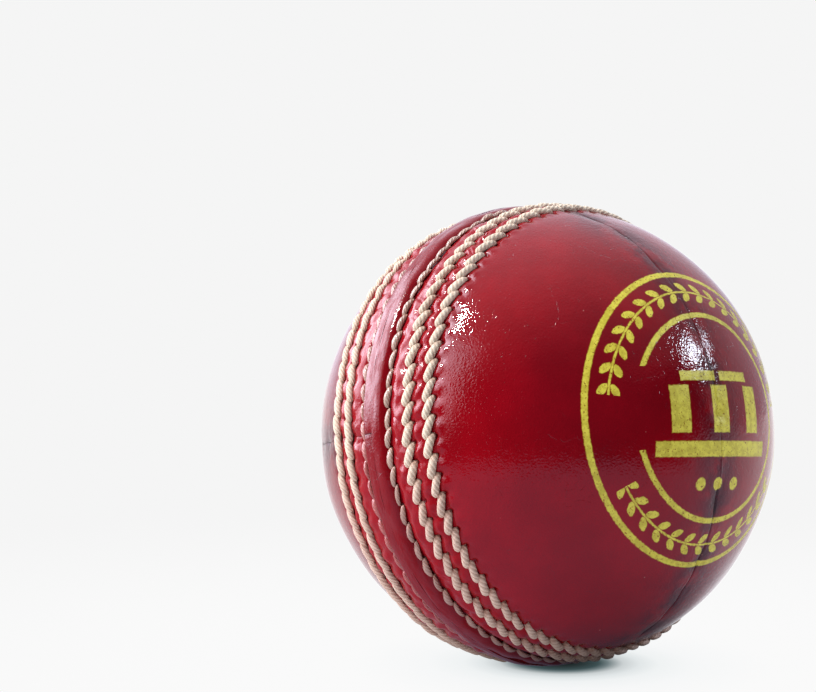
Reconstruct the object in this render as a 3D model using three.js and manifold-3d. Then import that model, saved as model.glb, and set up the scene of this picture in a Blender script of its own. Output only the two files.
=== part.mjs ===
// Four-piece cricket ball. A cork and rubber core is wound with layers of wool yarn and cork strips
// until it is a tight round quilt. Two leather cups, each sewn from two quarters, close over the quilt
// and meet in a raised ridge with three rows of stitching on each side.
//
// Frame: origin at the ball's centre, +X along the seam's axis to the pole of the stamped cup,
// +Z up in the plane of the seam, where the stamped cup's quarter seam meets the ridge.
import * as THREE from "three";
import { mergeVertices } from "three/addons/utils/BufferGeometryUtils.js";
import Module from "manifold-3d";

const wasm = await Module();
wasm.setup();

// ---- driving dimensions, in millimetres and degrees ----

const ballRadius = 35.7; // over the plain leather
const leatherThickness = 4;

const bandRise = 0.25; // the sewn band over the plain leather
const bandMargin = 2.65; // from the outer row to where the band fades out
const ridgeRise = 1; // the ridge's crest over the plain leather
const ridgeShoulder = 0.9; // from the join to where the crest starts to fall
const ridgeSlope = 0.85; // from there to the ridge's foot

const joinGap = 0.1; // between the two cups, and between the two quarters of a cup
const quarterSeamTurn = 94.5; // from the stamped cup's quarter seam to the plain cup's

// Each row's spacing is from the middle of the row before it. The closing row's is from the ridge's foot.
const closingThread = { spacing: 1, radius: 0.48, sink: 0.2 }; // holds the two cups together
const middleThread = { spacing: 4, radius: 0.62, sink: 0 };
const outerThread = { spacing: 3.6, radius: 0.62, sink: 0 };
const stitchesPerRow = 76;
const threadClearance = 0.23; // between a row of thread and its groove
const stitchWaist = 0.72; // a row's thickness between two stitches, as a share of the full one

const quarterThreadRadius = 0.5;
const quarterThreadClearance = 0.2;
const quarterThreadInset = 1.5; // the hidden stitching ends this far short of the sewn band

const liningThickness = 0.8;
const liningWidth = 12;
const liningInset = 0.5; // the lining strip ends this far short of the sewn band
const liningSeat = 0.3; // between the lining strip and what lies on each side of it

const coreRadius = 12.5;
const windingCount = 4;
const corkThickness = 1.6;
const corkStripsPerLayer = 4;
const corkStripGap = 0.6; // between neighbouring strips of a layer
const layerGap = 0.1; // between neighbouring layers of the quilt
const quiltGap = 0.15; // between the quilt and the cover
const needleHoleRadius = 1.5; // where the end of a winding's yarn is buried

// ---- how finely round shapes are divided ----

const quiltSides = 20; // around the seam's axis
const coverSides = 2 * quiltSides; // a multiple, so that the facets nest
const latitudes = [10, 30, 50, 70, 90]; // profile points of everything that nests, each side of the seam
const coverSteps = 6; // profile steps of the plain leather, from the sewn band to the pole
const liningSides = 32;
const arcSteps = 24;

// ---- worked out from the driving dimensions ----

const ridgeHalfWidth = ridgeShoulder + ridgeSlope;
const closingOffset = ridgeHalfWidth + closingThread.spacing;
const middleOffset = closingOffset + middleThread.spacing;
const outerOffset = middleOffset + outerThread.spacing;
const bandHalfWidth = outerOffset + bandMargin;
const rows = [
  { name: "closing", offset: closingOffset, ...closingThread },
  { name: "middle", offset: middleOffset, ...middleThread },
  { name: "outer", offset: outerOffset, ...outerThread },
];
const bandRadius = ballRadius + bandRise;
const crestRadius = ballRadius + ridgeRise;
const coverInnerRadius = ballRadius - leatherThickness;
const quiltRadius = coverInnerRadius - quiltGap;
const corkLayerCount = windingCount - 1;
const windingThickness =
  (quiltRadius -
    coreRadius -
    corkLayerCount * corkThickness -
    (windingCount + corkLayerCount) * layerGap) /
  windingCount;
const liningInnerRadius = coverInnerRadius + liningSeat;
const liningOuterRadius = liningInnerRadius + liningThickness;
const quarterThreadPath =
  liningOuterRadius + quarterThreadRadius + quarterThreadClearance;
const reachShortOfBand = (inset) =>
  90 - THREE.MathUtils.radToDeg((bandHalfWidth + inset) / ballRadius); // from the pole
const quarterThreadReach = reachShortOfBand(quarterThreadInset);
const liningReach = reachShortOfBand(liningInset);
const farAway = 3 * ballRadius; // longer than anything that a cutting block has to pass

// ---- materials ----

const material = (color, roughness) =>
  new THREE.MeshStandardMaterial({ color, roughness, metalness: 0 });
const redLeather = material(0x8c1420, 0.3);
const liningLeather = material(0xa88a68, 0.8);
const linenThread = material(0xdfd0ba, 0.75);
const corkRubber = material(0x6e4a2e, 0.9);
const corkStrip = material(0xb08456, 0.9);
const woolYarn = material(0xd9cdb4, 0.95);

// ---- small helpers ----

const radians = THREE.MathUtils.degToRad;

// A point at an angle from the seam's plane and a distance from the ball's centre, as a lathe point.
const atLatitude = (degrees, radius) =>
  new THREE.Vector2(
    radius * Math.cos(radians(degrees)),
    radius * Math.sin(radians(degrees)),
  );

// A point at a distance from the join, measured along the leather, as a lathe point.
const atOffset = (offset, radius) =>
  new THREE.Vector2(
    radius * Math.cos(offset / ballRadius),
    radius * Math.sin(offset / ballRadius),
  );

// A profile turned about the seam's axis.
function turnAboutSeamAxis(profile, sides) {
  return new THREE.LatheGeometry(profile, sides).rotateZ(-Math.PI / 2);
}

function solidOf(geometry) {
  const bare = geometry.clone();
  bare.deleteAttribute("normal");
  bare.deleteAttribute("uv");
  const merged = mergeVertices(bare, 1e-4);
  return new wasm.Manifold(
    new wasm.Mesh({
      numProp: 3,
      vertProperties: merged.attributes.position.array,
      triVerts: new Uint32Array(merged.index.array),
    }),
  );
}

function geometryOf(solid) {
  const mesh = solid.getMesh();
  const geometry = new THREE.BufferGeometry();
  geometry.setAttribute(
    "position",
    new THREE.BufferAttribute(mesh.vertProperties, 3),
  );
  geometry.setIndex(new THREE.BufferAttribute(mesh.triVerts, 1));
  geometry.computeVertexNormals();
  return geometry;
}

// A block that fills the half of space beyond a plane whose normal is given.
function halfSpace(normal, distance) {
  const block = new THREE.BoxGeometry(farAway, farAway, farAway);
  block.translate(0, 0, farAway / 2 + distance);
  block.applyQuaternion(
    new THREE.Quaternion().setFromUnitVectors(
      new THREE.Vector3(0, 0, 1),
      normal.clone().normalize(),
    ),
  );
  return solidOf(block);
}

function named(name, geometry, look) {
  const mesh = new THREE.Mesh(geometry, look);
  mesh.name = name;
  return mesh;
}

// ---- the quilt ----

// The outline of a round layer in the seam's own lathe frame, from the far pole to the near one.
function layerOutline(radius) {
  const angles = [...latitudes].reverse().map((a) => -a).concat(latitudes);
  return angles.map((a) => atLatitude(a, radius));
}

// The last side of that outline, cut short at the needle hole's edge.
function openOutline(radius) {
  const outline = layerOutline(radius);
  const pole = outline.pop();
  const last = outline[outline.length - 1];
  const share = 1 - needleHoleRadius / last.x;
  return [...outline, last.clone().lerp(pole, share)];
}

const makeCore = () =>
  turnAboutSeamAxis(layerOutline(coreRadius), quiltSides);

const makeWinding = (innerRadius, outerRadius) =>
  turnAboutSeamAxis(
    [...openOutline(outerRadius), ...openOutline(innerRadius).reverse()],
    quiltSides,
  );

// A closed ring of cork, sliced into strips that run from pole to pole.
function makeCorkStrips(innerRadius, outerRadius, turn) {
  const outside = layerOutline(outerRadius).slice(1, -1);
  const inside = layerOutline(innerRadius).slice(1, -1).reverse();
  const ring = solidOf(
    turnAboutSeamAxis([...outside, ...inside, outside[0]], quiltSides),
  );
  const strips = [];
  for (let i = 0; i < corkStripsPerLayer; i++) {
    const start = turn + (i * 2 * Math.PI) / corkStripsPerLayer;
    const end = start + (2 * Math.PI) / corkStripsPerLayer;
    const fromStart = new THREE.Vector3(0, -Math.sin(start), Math.cos(start));
    const fromEnd = new THREE.Vector3(0, Math.sin(end), -Math.cos(end));
    strips.push(
      geometryOf(
        ring
          .intersect(halfSpace(fromStart, corkStripGap / 2))
          .intersect(halfSpace(fromEnd, corkStripGap / 2)),
      ),
    );
  }
  return strips;
}

function makeQuilt() {
  const quilt = new THREE.Group();
  const layerNames = ["inner", "middle", "outer"];
  quilt.add(named("cork_rubber_core", makeCore(), corkRubber));
  let radius = coreRadius;
  for (let layer = 1; layer <= windingCount; layer++) {
    const inside = radius + layerGap;
    radius = inside + windingThickness;
    quilt.add(
      named(`yarn_winding_${layer}`, makeWinding(inside, radius), woolYarn),
    );
    if (layer > corkLayerCount) continue;
    const corkInside = radius + layerGap;
    radius = corkInside + corkThickness;
    const turn = layer % 2 ? 0 : Math.PI / corkStripsPerLayer;
    makeCorkStrips(corkInside, radius, turn).forEach((strip, i) =>
      quilt.add(
        named(`${layerNames[layer - 1]}_cork_strip_${i + 1}`, strip, corkStrip),
      ),
    );
  }
  return quilt;
}

// ---- the cover ----

// The V-groove that a row of thread lies in, as three points of the cup's outline.
function grooveOutline(row) {
  const halfWidth = row.radius + threadClearance + row.sink / 2;
  const depth = row.sink + row.radius + threadClearance;
  return [
    atOffset(row.offset - halfWidth, bandRadius),
    atOffset(row.offset, bandRadius - depth),
    atOffset(row.offset + halfWidth, bandRadius),
  ];
}

// The plain leather, from the sewn band to the pole.
function plainOutline() {
  const edge = THREE.MathUtils.radToDeg(bandHalfWidth / ballRadius);
  return Array.from({ length: coverSteps + 1 }, (_, i) =>
    atLatitude(edge + ((90 - edge) * i) / coverSteps, ballRadius),
  );
}

// Half of the cover, before it is cut into quarters: from the ridge out to the pole, then back inside.
function cupOutline() {
  const join = joinGap / 2;
  return [
    new THREE.Vector2(coverInnerRadius, join),
    new THREE.Vector2(crestRadius, join),
    atOffset(ridgeShoulder, crestRadius - 0.08 * ridgeRise),
    atOffset(ridgeHalfWidth, bandRadius + 0.2 * (ridgeRise - bandRise)),
    ...rows.flatMap(grooveOutline),
    ...plainOutline(),
    ...[...latitudes].reverse().map((a) => atLatitude(a, coverInnerRadius)),
    new THREE.Vector2(coverInnerRadius, join),
  ];
}

// A band of even thickness that lies along the quarter seam, on the inside of a cup.
function liningBand(innerRadius, outerRadius, width, reach) {
  const edge = THREE.MathUtils.radToDeg(width / 2 / liningInnerRadius);
  const across = [-edge, 0, edge];
  const inside = across.map((a) => atLatitude(a, innerRadius)).reverse();
  const outside = across.map((a) => atLatitude(a, outerRadius));
  const ring = new THREE.LatheGeometry(
    [...outside, ...inside, outside[0]],
    liningSides,
  );
  const end = liningInnerRadius * Math.cos(radians(reach));
  return solidOf(ring).intersect(halfSpace(new THREE.Vector3(1, 0, 0), end));
}

// An arc over the pole of the stamped cup, in the plane of its quarter seam.
class QuarterSeamArc extends THREE.Curve {
  constructor(radius, reach) {
    super();
    this.radius = radius;
    this.reach = radians(reach);
  }
  getPoint(t, target = new THREE.Vector3()) {
    const angle = (2 * t - 1) * this.reach;
    return target.set(
      this.radius * Math.cos(angle),
      0,
      this.radius * Math.sin(angle),
    );
  }
}

function tubeAlong(curve, radius, steps, sides) {
  const section = new THREE.Shape(
    Array.from(
      { length: sides },
      (_, i) =>
        new THREE.Vector2(
          radius * Math.cos((2 * Math.PI * i) / sides),
          radius * Math.sin((2 * Math.PI * i) / sides),
        ),
    ),
  );
  return new THREE.ExtrudeGeometry(section, {
    steps,
    extrudePath: curve,
    bevelEnabled: false,
  });
}

const makeLining = () =>
  geometryOf(
    liningBand(liningInnerRadius, liningOuterRadius, liningWidth, liningReach),
  );

const makeQuarterThread = () =>
  tubeAlong(
    new QuarterSeamArc(quarterThreadPath, quarterThreadReach),
    quarterThreadRadius,
    arcSteps,
    6,
  );

// The stamped cup's two quarters, with the recess for the lining and the channel for the hidden thread.
function makeQuarters() {
  const cup = solidOf(turnAboutSeamAxis(cupOutline(), coverSides));
  const recess = liningBand(
    coverInnerRadius - leatherThickness / 2,
    liningOuterRadius + quarterThreadClearance,
    liningWidth + 2 * liningSeat,
    liningReach + 1,
  );
  const channel = solidOf(
    tubeAlong(
      new QuarterSeamArc(quarterThreadPath, quarterThreadReach + 1),
      quarterThreadRadius + quarterThreadClearance,
      arcSteps,
      6,
    ),
  );
  const hollowed = cup.subtract(recess).subtract(channel);
  const front = new THREE.Vector3(0, -1, 0);
  const back = new THREE.Vector3(0, 1, 0);
  return [front, back].map((side) =>
    geometryOf(hollowed.intersect(halfSpace(side, joinGap / 2))),
  );
}

// One cup with its lining and hidden thread, in the stamped cup's place.
function makeCup(cupName, quarterNames) {
  const cup = new THREE.Group();
  const [front, back] = makeQuarters();
  cup.add(named(`cover_${cupName}_${quarterNames[0]}`, front, redLeather));
  cup.add(named(`cover_${cupName}_${quarterNames[1]}`, back, redLeather));
  cup.add(named(`quarter_lining_${cupName}`, makeLining(), liningLeather));
  cup.add(named(`quarter_thread_${cupName}`, makeQuarterThread(), linenThread));
  return cup;
}

// ---- the rows of stitching ----

// A ring of thread that narrows between its stitches and lies in the groove of its row.
function makeStitchRow(row, side) {
  const steps = 2 * stitchesPerRow;
  const sides = 4;
  const ring = new THREE.TorusGeometry(
    ballRadius,
    row.radius,
    sides,
    steps,
  );
  const position = ring.attributes.position;
  for (let j = 0; j <= sides; j++)
    for (let i = 0; i <= steps; i++) {
      const around = ((i % steps) / steps) * 2 * Math.PI;
      const across = ((j % sides) / sides) * 2 * Math.PI;
      const thickness = row.radius * (i % 2 ? 1 : stitchWaist);
      const radius = bandRadius - row.sink + thickness * Math.cos(across);
      const offset = row.offset + thickness * Math.sin(across);
      const point = atOffset(offset, radius);
      position.setXYZ(
        j * (steps + 1) + i,
        side * point.y,
        point.x * Math.cos(around) * side,
        point.x * Math.sin(around),
      );
    }
  return ring;
}

function makeStitching() {
  const stitching = new THREE.Group();
  for (const row of rows) {
    const stamped = makeStitchRow(row, 1);
    const plain = makeStitchRow(row, -1);
    stitching.add(
      named(`${row.name}_stitch_row_stamped`, stamped, linenThread),
      named(`${row.name}_stitch_row_plain`, plain, linenThread),
    );
  }
  return stitching;
}

// ---- the ball ----

const stampedCup = makeCup("stamped", ["front", "back"]);
const plainCup = makeCup("plain", ["lower", "upper"]);
// Half a turn about a line in the seam's plane faces the plain cup the other way, and sets its
// quarter seam twice that line's angle round from the stamped cup's.
const halfTurnLine = radians(quarterSeamTurn / 2);
plainCup.quaternion.setFromAxisAngle(
  new THREE.Vector3(0, Math.sin(halfTurnLine), Math.cos(halfTurnLine)),
  Math.PI,
);

const cricketBall = new THREE.Group();
cricketBall.add(makeQuilt(), stampedCup, plainCup, makeStitching());

export default cricketBall;
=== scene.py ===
import math

import bpy
import numpy as np
from mathutils import Matrix, Vector


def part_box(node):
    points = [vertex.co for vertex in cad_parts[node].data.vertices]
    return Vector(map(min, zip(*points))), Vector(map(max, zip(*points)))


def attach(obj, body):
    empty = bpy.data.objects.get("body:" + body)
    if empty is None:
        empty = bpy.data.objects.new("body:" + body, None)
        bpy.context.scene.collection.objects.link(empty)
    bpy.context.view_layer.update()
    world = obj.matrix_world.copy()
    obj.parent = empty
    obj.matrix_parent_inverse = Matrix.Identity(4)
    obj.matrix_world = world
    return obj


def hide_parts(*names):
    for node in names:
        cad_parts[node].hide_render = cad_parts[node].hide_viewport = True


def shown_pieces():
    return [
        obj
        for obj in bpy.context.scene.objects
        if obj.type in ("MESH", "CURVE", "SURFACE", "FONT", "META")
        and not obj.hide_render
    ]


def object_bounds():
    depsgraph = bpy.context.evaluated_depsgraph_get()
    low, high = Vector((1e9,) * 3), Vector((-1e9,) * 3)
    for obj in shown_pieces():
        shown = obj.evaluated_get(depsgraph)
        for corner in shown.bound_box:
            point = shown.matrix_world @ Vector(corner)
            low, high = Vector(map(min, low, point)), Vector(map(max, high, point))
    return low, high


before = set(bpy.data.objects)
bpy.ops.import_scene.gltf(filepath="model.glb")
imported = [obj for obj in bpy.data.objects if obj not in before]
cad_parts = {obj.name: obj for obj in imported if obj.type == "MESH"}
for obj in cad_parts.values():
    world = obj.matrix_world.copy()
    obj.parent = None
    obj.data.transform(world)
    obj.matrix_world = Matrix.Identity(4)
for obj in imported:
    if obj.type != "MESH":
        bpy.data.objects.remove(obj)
cadLow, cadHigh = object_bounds()
mm = 0.001

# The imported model: origin at the ball's centre, +X to the stamped cup's pole, the seam in the YZ plane.
leatherRadius = cadHigh.x / mm
leatherThickness = 4
poleOffset = leatherRadius * math.pi / 2  # from the join to a pole, along the leather

stage = {
    "up": (0.1472, 0.021, 0.9889),  # the way up for the floor the ball lies on
    "away": (-0.7351, 0.6713, 0.0951),  # the way the camera looks, along the floor
    "cameraAt": (0.24232, -0.24643, -0.00147),
    "cameraTurn": (92.996, 6.559, 48.227),
    "lens": 95.2,
}
print("frame loaded, leather radius", round(leatherRadius, 2), "mm")


# small helpers

def setInputs(node, values):
    # a value is a number, a colour, or another node's output to link
    for name, value in values.items():
        socket = node.inputs[name]
        if isinstance(value, bpy.types.NodeSocket):
            node.id_data.links.new(value, socket)
        else:
            socket.default_value = value


def addNode(tree, kind, values=None, **settings):
    node = tree.nodes.new(kind)
    for name, value in settings.items():
        setattr(node, name, value)
    setInputs(node, values or {})
    return node


def treeOf(*values):
    # the node tree that the first output among the values belongs to
    return next(value.id_data for value in values if isinstance(value, bpy.types.NodeSocket))


def maths(operation, first, second=0.5, third=0.5):
    tree = treeOf(first, second, third)
    return addNode(tree, "ShaderNodeMath", {0: first, 1: second, 2: third},
                   operation=operation).outputs[0]


def plus(first, second):
    return maths("ADD", first, second)


def minus(first, second):
    return maths("SUBTRACT", first, second)


def times(first, second):
    return maths("MULTIPLY", first, second)


def timesPlus(first, second, third):
    return maths("MULTIPLY_ADD", first, second, third)


def vectorMaths(operation, first, second=(0, 0, 0)):
    node = addNode(treeOf(first), "ShaderNodeVectorMath", {0: first, 1: second}, operation=operation)
    return node.outputs["Value" if operation in ("DOT_PRODUCT", "LENGTH", "DISTANCE") else 0]


def scaled(vector, factor):
    node = addNode(treeOf(vector), "ShaderNodeVectorMath", {0: vector, "Scale": factor},
                   operation="SCALE")
    return node.outputs[0]


def axesOf(vector):
    return addNode(treeOf(vector), "ShaderNodeSeparateXYZ", {"Vector": vector}).outputs


def combine(**axes):
    return addNode(treeOf(*axes.values()), "ShaderNodeCombineXYZ", axes).outputs[0]


def bumped(height, strength, distance, **normal):
    values = {"Height": height, "Strength": strength, "Distance": distance, **normal}
    return addNode(treeOf(height), "ShaderNodeBump", values).outputs[0]


def stepUp(value, low, high, outLow=0.0, outHigh=1.0, kind="SMOOTHSTEP"):
    # runs from outLow to outHigh as value goes from low to high
    values = {"Value": value, "From Min": low, "From Max": high, "To Min": outLow, "To Max": outHigh}
    return addNode(treeOf(value), "ShaderNodeMapRange", values,
                   interpolation_type=kind).outputs["Result"]


def mixColours(share, first, second, blend="MIX"):
    node = addNode(treeOf(share, first, second), "ShaderNodeMix", data_type="RGBA", blend_type=blend)
    colours = [(*value, 1) if isinstance(value, tuple) else value for value in (first, second)]
    setInputs(node, {0: share, 6: colours[0], 7: colours[1]})
    return node.outputs[2]


def addObject(name, data):
    thing = bpy.data.objects.new(name, data)
    bpy.context.scene.collection.objects.link(thing)
    return thing


def readAttribute(tree, name):
    return addNode(tree, "ShaderNodeAttribute", attribute_name=name).outputs["Fac"]


def newMaterial(name):
    material = bpy.data.materials.new(name)
    material.use_nodes = True
    tree = material.node_tree
    tree.nodes.clear()
    shader = addNode(tree, "ShaderNodeBsdfPrincipled")
    output = addNode(tree, "ShaderNodeOutputMaterial")
    tree.links.new(shader.outputs[0], output.inputs["Surface"])
    return material, tree, shader


def newGroup(name, inputs, outputs):
    # a node group that several materials share; inputs are name: value, outputs name: socket type
    group = bpy.data.node_groups.new(name, "ShaderNodeTree")
    for socketName, value in inputs.items():
        kind = "NodeSocketVector" if value is None else "NodeSocketFloat"
        socket = group.interface.new_socket(socketName, in_out="INPUT", socket_type=kind)
        if value is not None:
            socket.default_value = value
    for socketName, kind in outputs.items():
        group.interface.new_socket(socketName, in_out="OUTPUT", socket_type=kind)
    given = group.nodes.new("NodeGroupInput").outputs
    wanted = group.nodes.new("NodeGroupOutput").inputs
    return group, given, wanted


def useGroup(tree, group, values):
    node = addNode(tree, "ShaderNodeGroup", node_tree=group)
    setInputs(node, values)
    return node.outputs


def millimetres(tree):
    # object coordinates in millimetres, so that every pattern's size is a real one
    place = addNode(tree, "ShaderNodeTexCoord").outputs["Object"]
    return addNode(tree, "ShaderNodeMapping", {"Vector": place, "Scale": (1000, 1000, 1000)}).outputs[0]


def noiseAt(place, size, detail=2.0, roughness=0.5, distortion=0.0):
    values = {"Vector": place, "Scale": 1 / size, "Detail": detail, "Roughness": roughness,
              "Distortion": distortion}
    return addNode(treeOf(place), "ShaderNodeTexNoise", values).outputs["Fac"]


def smoothBetween(x, low, high):
    t = np.clip((x - low) / (high - low), 0, 1)
    return t * t * (3 - 2 * t)


def throughPoints(x, points):
    # a smooth curve through the points that never overshoots them
    at = np.array([p[0] for p in points], float)
    level = np.array([p[1] for p in points], float)
    gap = np.diff(at)
    rise = np.diff(level) / gap
    slope = np.zeros(len(at))
    turning = rise[1:] * rise[:-1] <= 0
    slope[1:-1] = np.where(turning, 0, 2 / (1 / np.where(turning, 1, rise[1:]) + 1 / np.where(turning,
            1, rise[:-1])))
    i = np.clip(np.searchsorted(at, x, side="right") - 1, 0, len(at) - 2)
    t = np.clip((x - at[i]) / gap[i], 0, 1)
    start = (1 + 2 * t) * (1 - t) ** 2 * level[i] + t * (1 - t) ** 2 * gap[i] * slope[i]
    return start + t * t * (3 - 2 * t) * level[i + 1] + t * t * (t - 1) * gap[i] * slope[i + 1]


def towardPoint(side, latitude, angle):
    # the direction from the ball's centre: latitude from the join to a cup's pole, angle around the seam
    ring = np.cos(latitude)
    return np.stack([side * np.sin(latitude), -ring * np.cos(angle), ring * np.sin(angle)], 1)


def unevenness(points, size, seed, waves=40):
    # smooth hand-made unevenness over the ball, about -1 to 1, in lumps of the given size in mm
    draw = np.random.default_rng(seed)
    direction = draw.normal(size=(waves, 3))
    direction /= np.linalg.norm(direction, axis=1)[:, None]
    pace = direction * (draw.uniform(0.6, 1.5, waves) * math.pi / size)[:, None]
    return np.sin(points @ pace.T + draw.uniform(0, 2 * math.pi, waves)).sum(1) / math.sqrt(waves / 2)


# the rows of stitching: where each one runs, and where its stitches go in and out of the leather

rows = {
    "closing": {"node": "closing_stitch_row", "count": 76, "slant": 4, "length": 3.3},
    "middle": {"node": "middle_stitch_row", "count": 76, "slant": 20, "length": 3.7},
    "outer": {"node": "outer_stitch_row", "count": 76, "slant": 20, "length": 3.7},
}
cups = {
    "stamped": {"side": 1, "seamTurn": 0.0, "quarters": ("front", "back"),
                "phases": {"closing": -0.32, "middle": -0.25, "outer": -0.05}, "seed": 11},
    "plain": {"side": -1, "seamTurn": 85.5, "quarters": ("lower", "upper"),
              "phases": {"closing": 0.1, "middle": 0.35, "outer": 0.7}, "seed": 23},
}
for row in rows.values():
    low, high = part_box(row["node"] + "_stamped")
    sine = (low.x + high.x) / 2 / mm / (leatherRadius + 0.25)
    row["offset"] = leatherRadius * math.asin(sine)  # from the join, along the leather
    row["ring"] = leatherRadius * math.sqrt(1 - sine * sine)
    row["pitch"] = 2 * math.pi / row["count"]
    row["halfAlong"] = row["length"] / 2 * math.cos(math.radians(row["slant"]))
    row["halfAcross"] = row["length"] / 2 * math.sin(math.radians(row["slant"]))


def rowWander(angle, seed):
    # how far a hand-sewn row strays from its line, in mm
    slow = 0.11 * np.sin(3 * angle + seed) + 0.07 * np.sin(8 * angle + 2.3 * seed)
    return slow + 0.04 * np.sin(19 * angle + seed)


# the leather cover, four quarters

cover = {
    "columns": 540,
    "bandRows": 90,
    "plainRows": 44,
    "bandEnd": 14.5,
    "seamGap": 0.03,
    "holeRadius": 0.31,
    "holeDepth": 0.45,
    "wrinkleDepth": 0.035,
    "creaseDepth": 0.1,  # of the creases across the two puffed bands
    "ripple": 0.11,  # how far the leather swells between two stitches
    "lumps": {"band": (0.045, 2.6), "fine": (0.05, 1.3), "wide": (0.05, 9)},  # height and size
    # distance from the join, height over the plain leather
    "stampedProfile": [(0, 0.95), (0.8, 0.93), (1.5, 0.78), (2.1, 0.36), (2.4, 0.02), (2.8, -0.06),
        (3.4, 0.1), (4.6, 0.42), (5.9, 0.32), (6.75, 0.0), (7.5, 0.28), (8.5, 0.46), (9.5, 0.3),
        (10.35, 0.02), (11.1, 0.22), (12.2, 0.27), (17, 0.2), (60, 0.28)],
    "plainProfile": [(0, 0.95), (0.8, 1.0), (1.6, 0.98), (1.95, 0.7), (2.2, 0.05), (2.75, -0.1),
        (3.5, 0.28), (4.7, 0.5), (5.9, 0.32), (6.75, 0.0), (7.5, 0.28), (8.5, 0.46), (9.5, 0.3),
        (10.35, 0.02), (11.1, 0.22), (12.2, 0.25), (17, 0.16), (60, 0.2)],
}


def pitPattern(offset, angle, row, phase, along, across, radius):
    # 1 at each point where the row's thread goes through the leather, fading out to 0 around it
    gap = (angle / row["pitch"] - phase - along / row["ring"] / row["pitch"] + 0.5) % 1 - 0.5
    squared = (gap * row["pitch"] * row["ring"]) ** 2 + (offset - row["offset"] - across) ** 2
    return np.exp(-squared / radius ** 2)


def leatherSurface(cup, offset, angle, toSeam, direction):
    # height over the plain leather, and masks for its colour there: soil, painted shade in its hollows
    # and painted sheen by the join
    inRows = smoothBetween(offset, 3.2, 5) * (1 - smoothBetween(offset, 11.5, 14))
    strayed = offset - rowWander(angle, cup["seed"]) * inRows
    profile = cover["stampedProfile" if cup["side"] > 0 else "plainProfile"]
    height = throughPoints(strayed, profile)
    inBand = 1 - smoothBetween(offset, 10.9, 12.2)
    place = direction * leatherRadius
    (bandHeight, bandSize), (fineHeight, fineSize), (wideHeight, wideSize) = cover["lumps"].values()
    height = height + bandHeight * unevenness(place, bandSize, cup["seed"]) * inBand
    height = height + wideHeight * unevenness(place, wideSize, cup["seed"] + 1)
    fineLumps = unevenness(place, fineSize, cup["seed"] + 2) * smoothBetween(offset, 2.2, 3.4)
    height = height + fineHeight * fineLumps * inBand
    holes = np.zeros_like(height)
    for name in ("middle", "outer"):
        row = rows[name]
        phase = cup["phases"][name]
        hole = pitPattern(strayed, angle, row, phase, row["halfAlong"] - 0.15, row["halfAcross"] + 0.34,
                          cover["holeRadius"])
        bite = pitPattern(strayed, angle, row, phase, -row["halfAlong"], -row["halfAcross"], 0.42)
        holes = np.maximum(holes, hole)
        height = height - cover["holeDepth"] * hole - 0.2 * bite
        # the leather swells between the stitches' ends, and puckers away from them
        beside = (np.abs(strayed - row["offset"]) - 1.5) / 0.7
        ripple = np.cos(2 * math.pi * (angle / row["pitch"] - phase)) * np.exp(-beside ** 2)
        height = height + cover["ripple"] * ripple
    row = rows["closing"]
    phase = cup["phases"]["closing"]
    dive = pitPattern(strayed, angle, row, phase, row["pitch"] * row["ring"] / 2, 0, 0.4)
    holes = np.maximum(holes, 0.8 * dive)
    height = height - 0.3 * dive
    # creases across the two puffed bands, a little aslant
    for low, high, tilt, seed in ((3.5, 6.0, 0.05, 1.3), (7.5, 9.7, 0.08, 4.1)):
        inside = smoothBetween(strayed, low, low + 0.7) * (1 - smoothBetween(strayed, high - 0.7, high))
        turn = angle / rows["middle"]["pitch"] + tilt * (strayed - low) * 4
        turn = turn + 0.25 * np.sin(5 * angle + seed)
        crease = np.maximum(0, np.cos(2 * math.pi * turn)) ** 10
        varied = 0.6 + 0.4 * np.sin(11 * angle + seed)
        height = height - cover["creaseDepth"] * crease * inside * varied
    # the quarter seam: a thin crease in a shallow valley
    run = 1 - smoothBetween(offset, 0.3, 1.2) * 0.25
    fine = unevenness(place, 3.5, cup["seed"] + 5)
    crease = np.exp(-(toSeam / 0.2) ** 2)
    valley = np.exp(-(toSeam / 1.3) ** 2)
    height = height - (0.09 + 0.06 * fine) * crease * run - (0.07 + 0.05 * fine) * valley
    # short wrinkles that run into it
    wrinkle = np.maximum(0,
            np.sin(offset * 2.1 + 1.4 * fine)) ** 4 * np.exp(-((toSeam - 0.9) / 0.6) ** 2)
    height = height - cover["wrinkleDepth"] * wrinkle * (1 - inBand)
    patchy = 0.5 + 0.5 * unevenness(place, 7, cup["seed"] + 6)
    soil = (0.1 + 0.6 * patchy) * np.exp(-(toSeam / 0.24) ** 2)  # in the crease, and faintly around it
    soil = np.clip(soil + (0.2 + 0.3 * fine) * np.exp(-(toSeam / 1.8) ** 2), 0, 1)
    # painted shade: darker where the leather lies low on the sewn band, and in the needle holes
    sunkShade = np.clip((0.16 - height) / 0.45, 0, 1) * inBand
    # paler leather on the band by the join: rubbing, and painted sheen
    rubbedSheen = inBand * smoothBetween(offset, 1.9, 3.2)
    return height, {"sunkShade": np.clip(np.maximum(sunkShade, holes), 0, 1), "soil": soil, "sewnBand": inBand,
                    "rubbedSheen": rubbedSheen,
                    "creased": np.exp(-(toSeam / 5) ** 2) * (1 - inBand)}


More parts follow.
